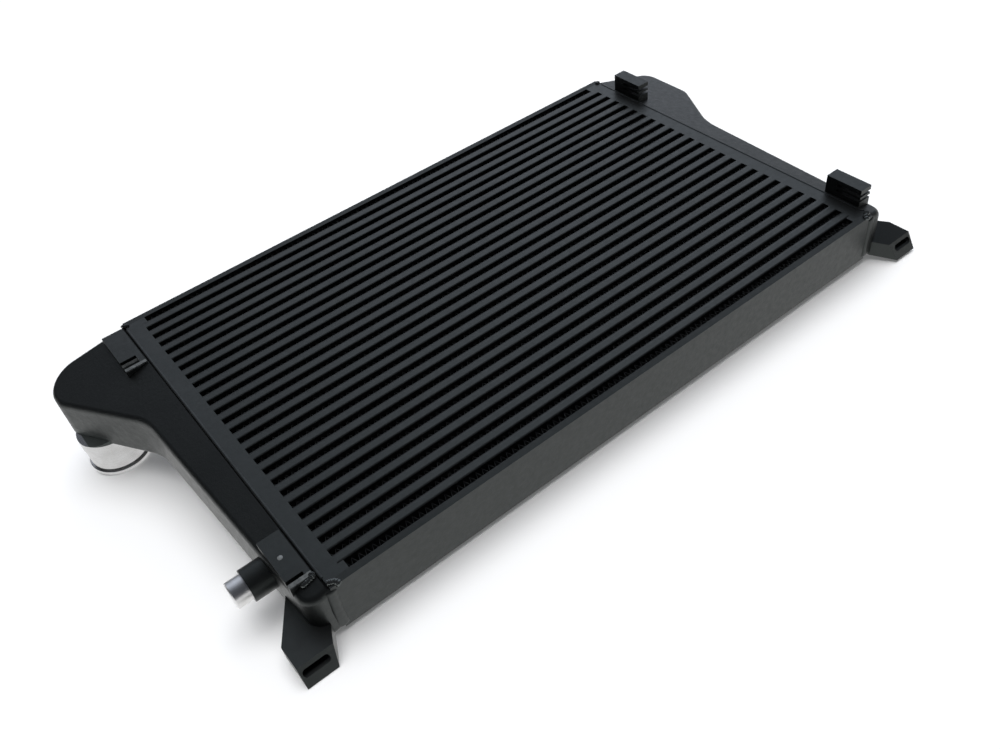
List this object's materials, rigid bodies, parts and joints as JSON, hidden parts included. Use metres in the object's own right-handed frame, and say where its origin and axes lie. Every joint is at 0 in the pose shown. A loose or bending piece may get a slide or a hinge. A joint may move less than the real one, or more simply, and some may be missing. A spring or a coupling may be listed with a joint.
{
  "type": "bar-and-plate intercooler",
  "caption": "Front-mounted bar-and-plate charge-air cooler with cast flared end tanks, bead-ended outlets, mounting arms and a locating pin.",
  "frame": {"origin": "middle of the core's upper air face, on the middle bar", "axes": "+X along the bars toward the right tank, +Y away from the brackets, +Z out of the upper air face"},
  "size_m": [0.8316, 0.4467, 0.1285],
  "materials": {
    "satin_black_coat": "satin",
    "bare_aluminium": "turned",
    "inner_aluminium": "mill"
  },
  "bodies": {
    "root": {"front_bars": "satin_black_coat", "rear_bars": "satin_black_coat", "left_end_bars": "satin_black_coat", "right_end_bars": "satin_black_coat", "parting_plates": "satin_black_coat", "air_fins": "satin_black_coat", "turbulator_fins": "inner_aluminium", "near_side_plate": "satin_black_coat", "far_side_plate": "satin_black_coat", "left_end_tank": "satin_black_coat", "right_end_tank": "satin_black_coat", "left_outlet": "bare_aluminium", "right_outlet": "bare_aluminium", "left_near_block": "satin_black_coat", "left_far_block": "satin_black_coat", "right_near_block": "satin_black_coat", "right_far_block": "satin_black_coat", "left_bracket": "satin_black_coat", "right_bracket": "satin_black_coat", "locating_pin": "bare_aluminium"}
  },
  "joints": []
}
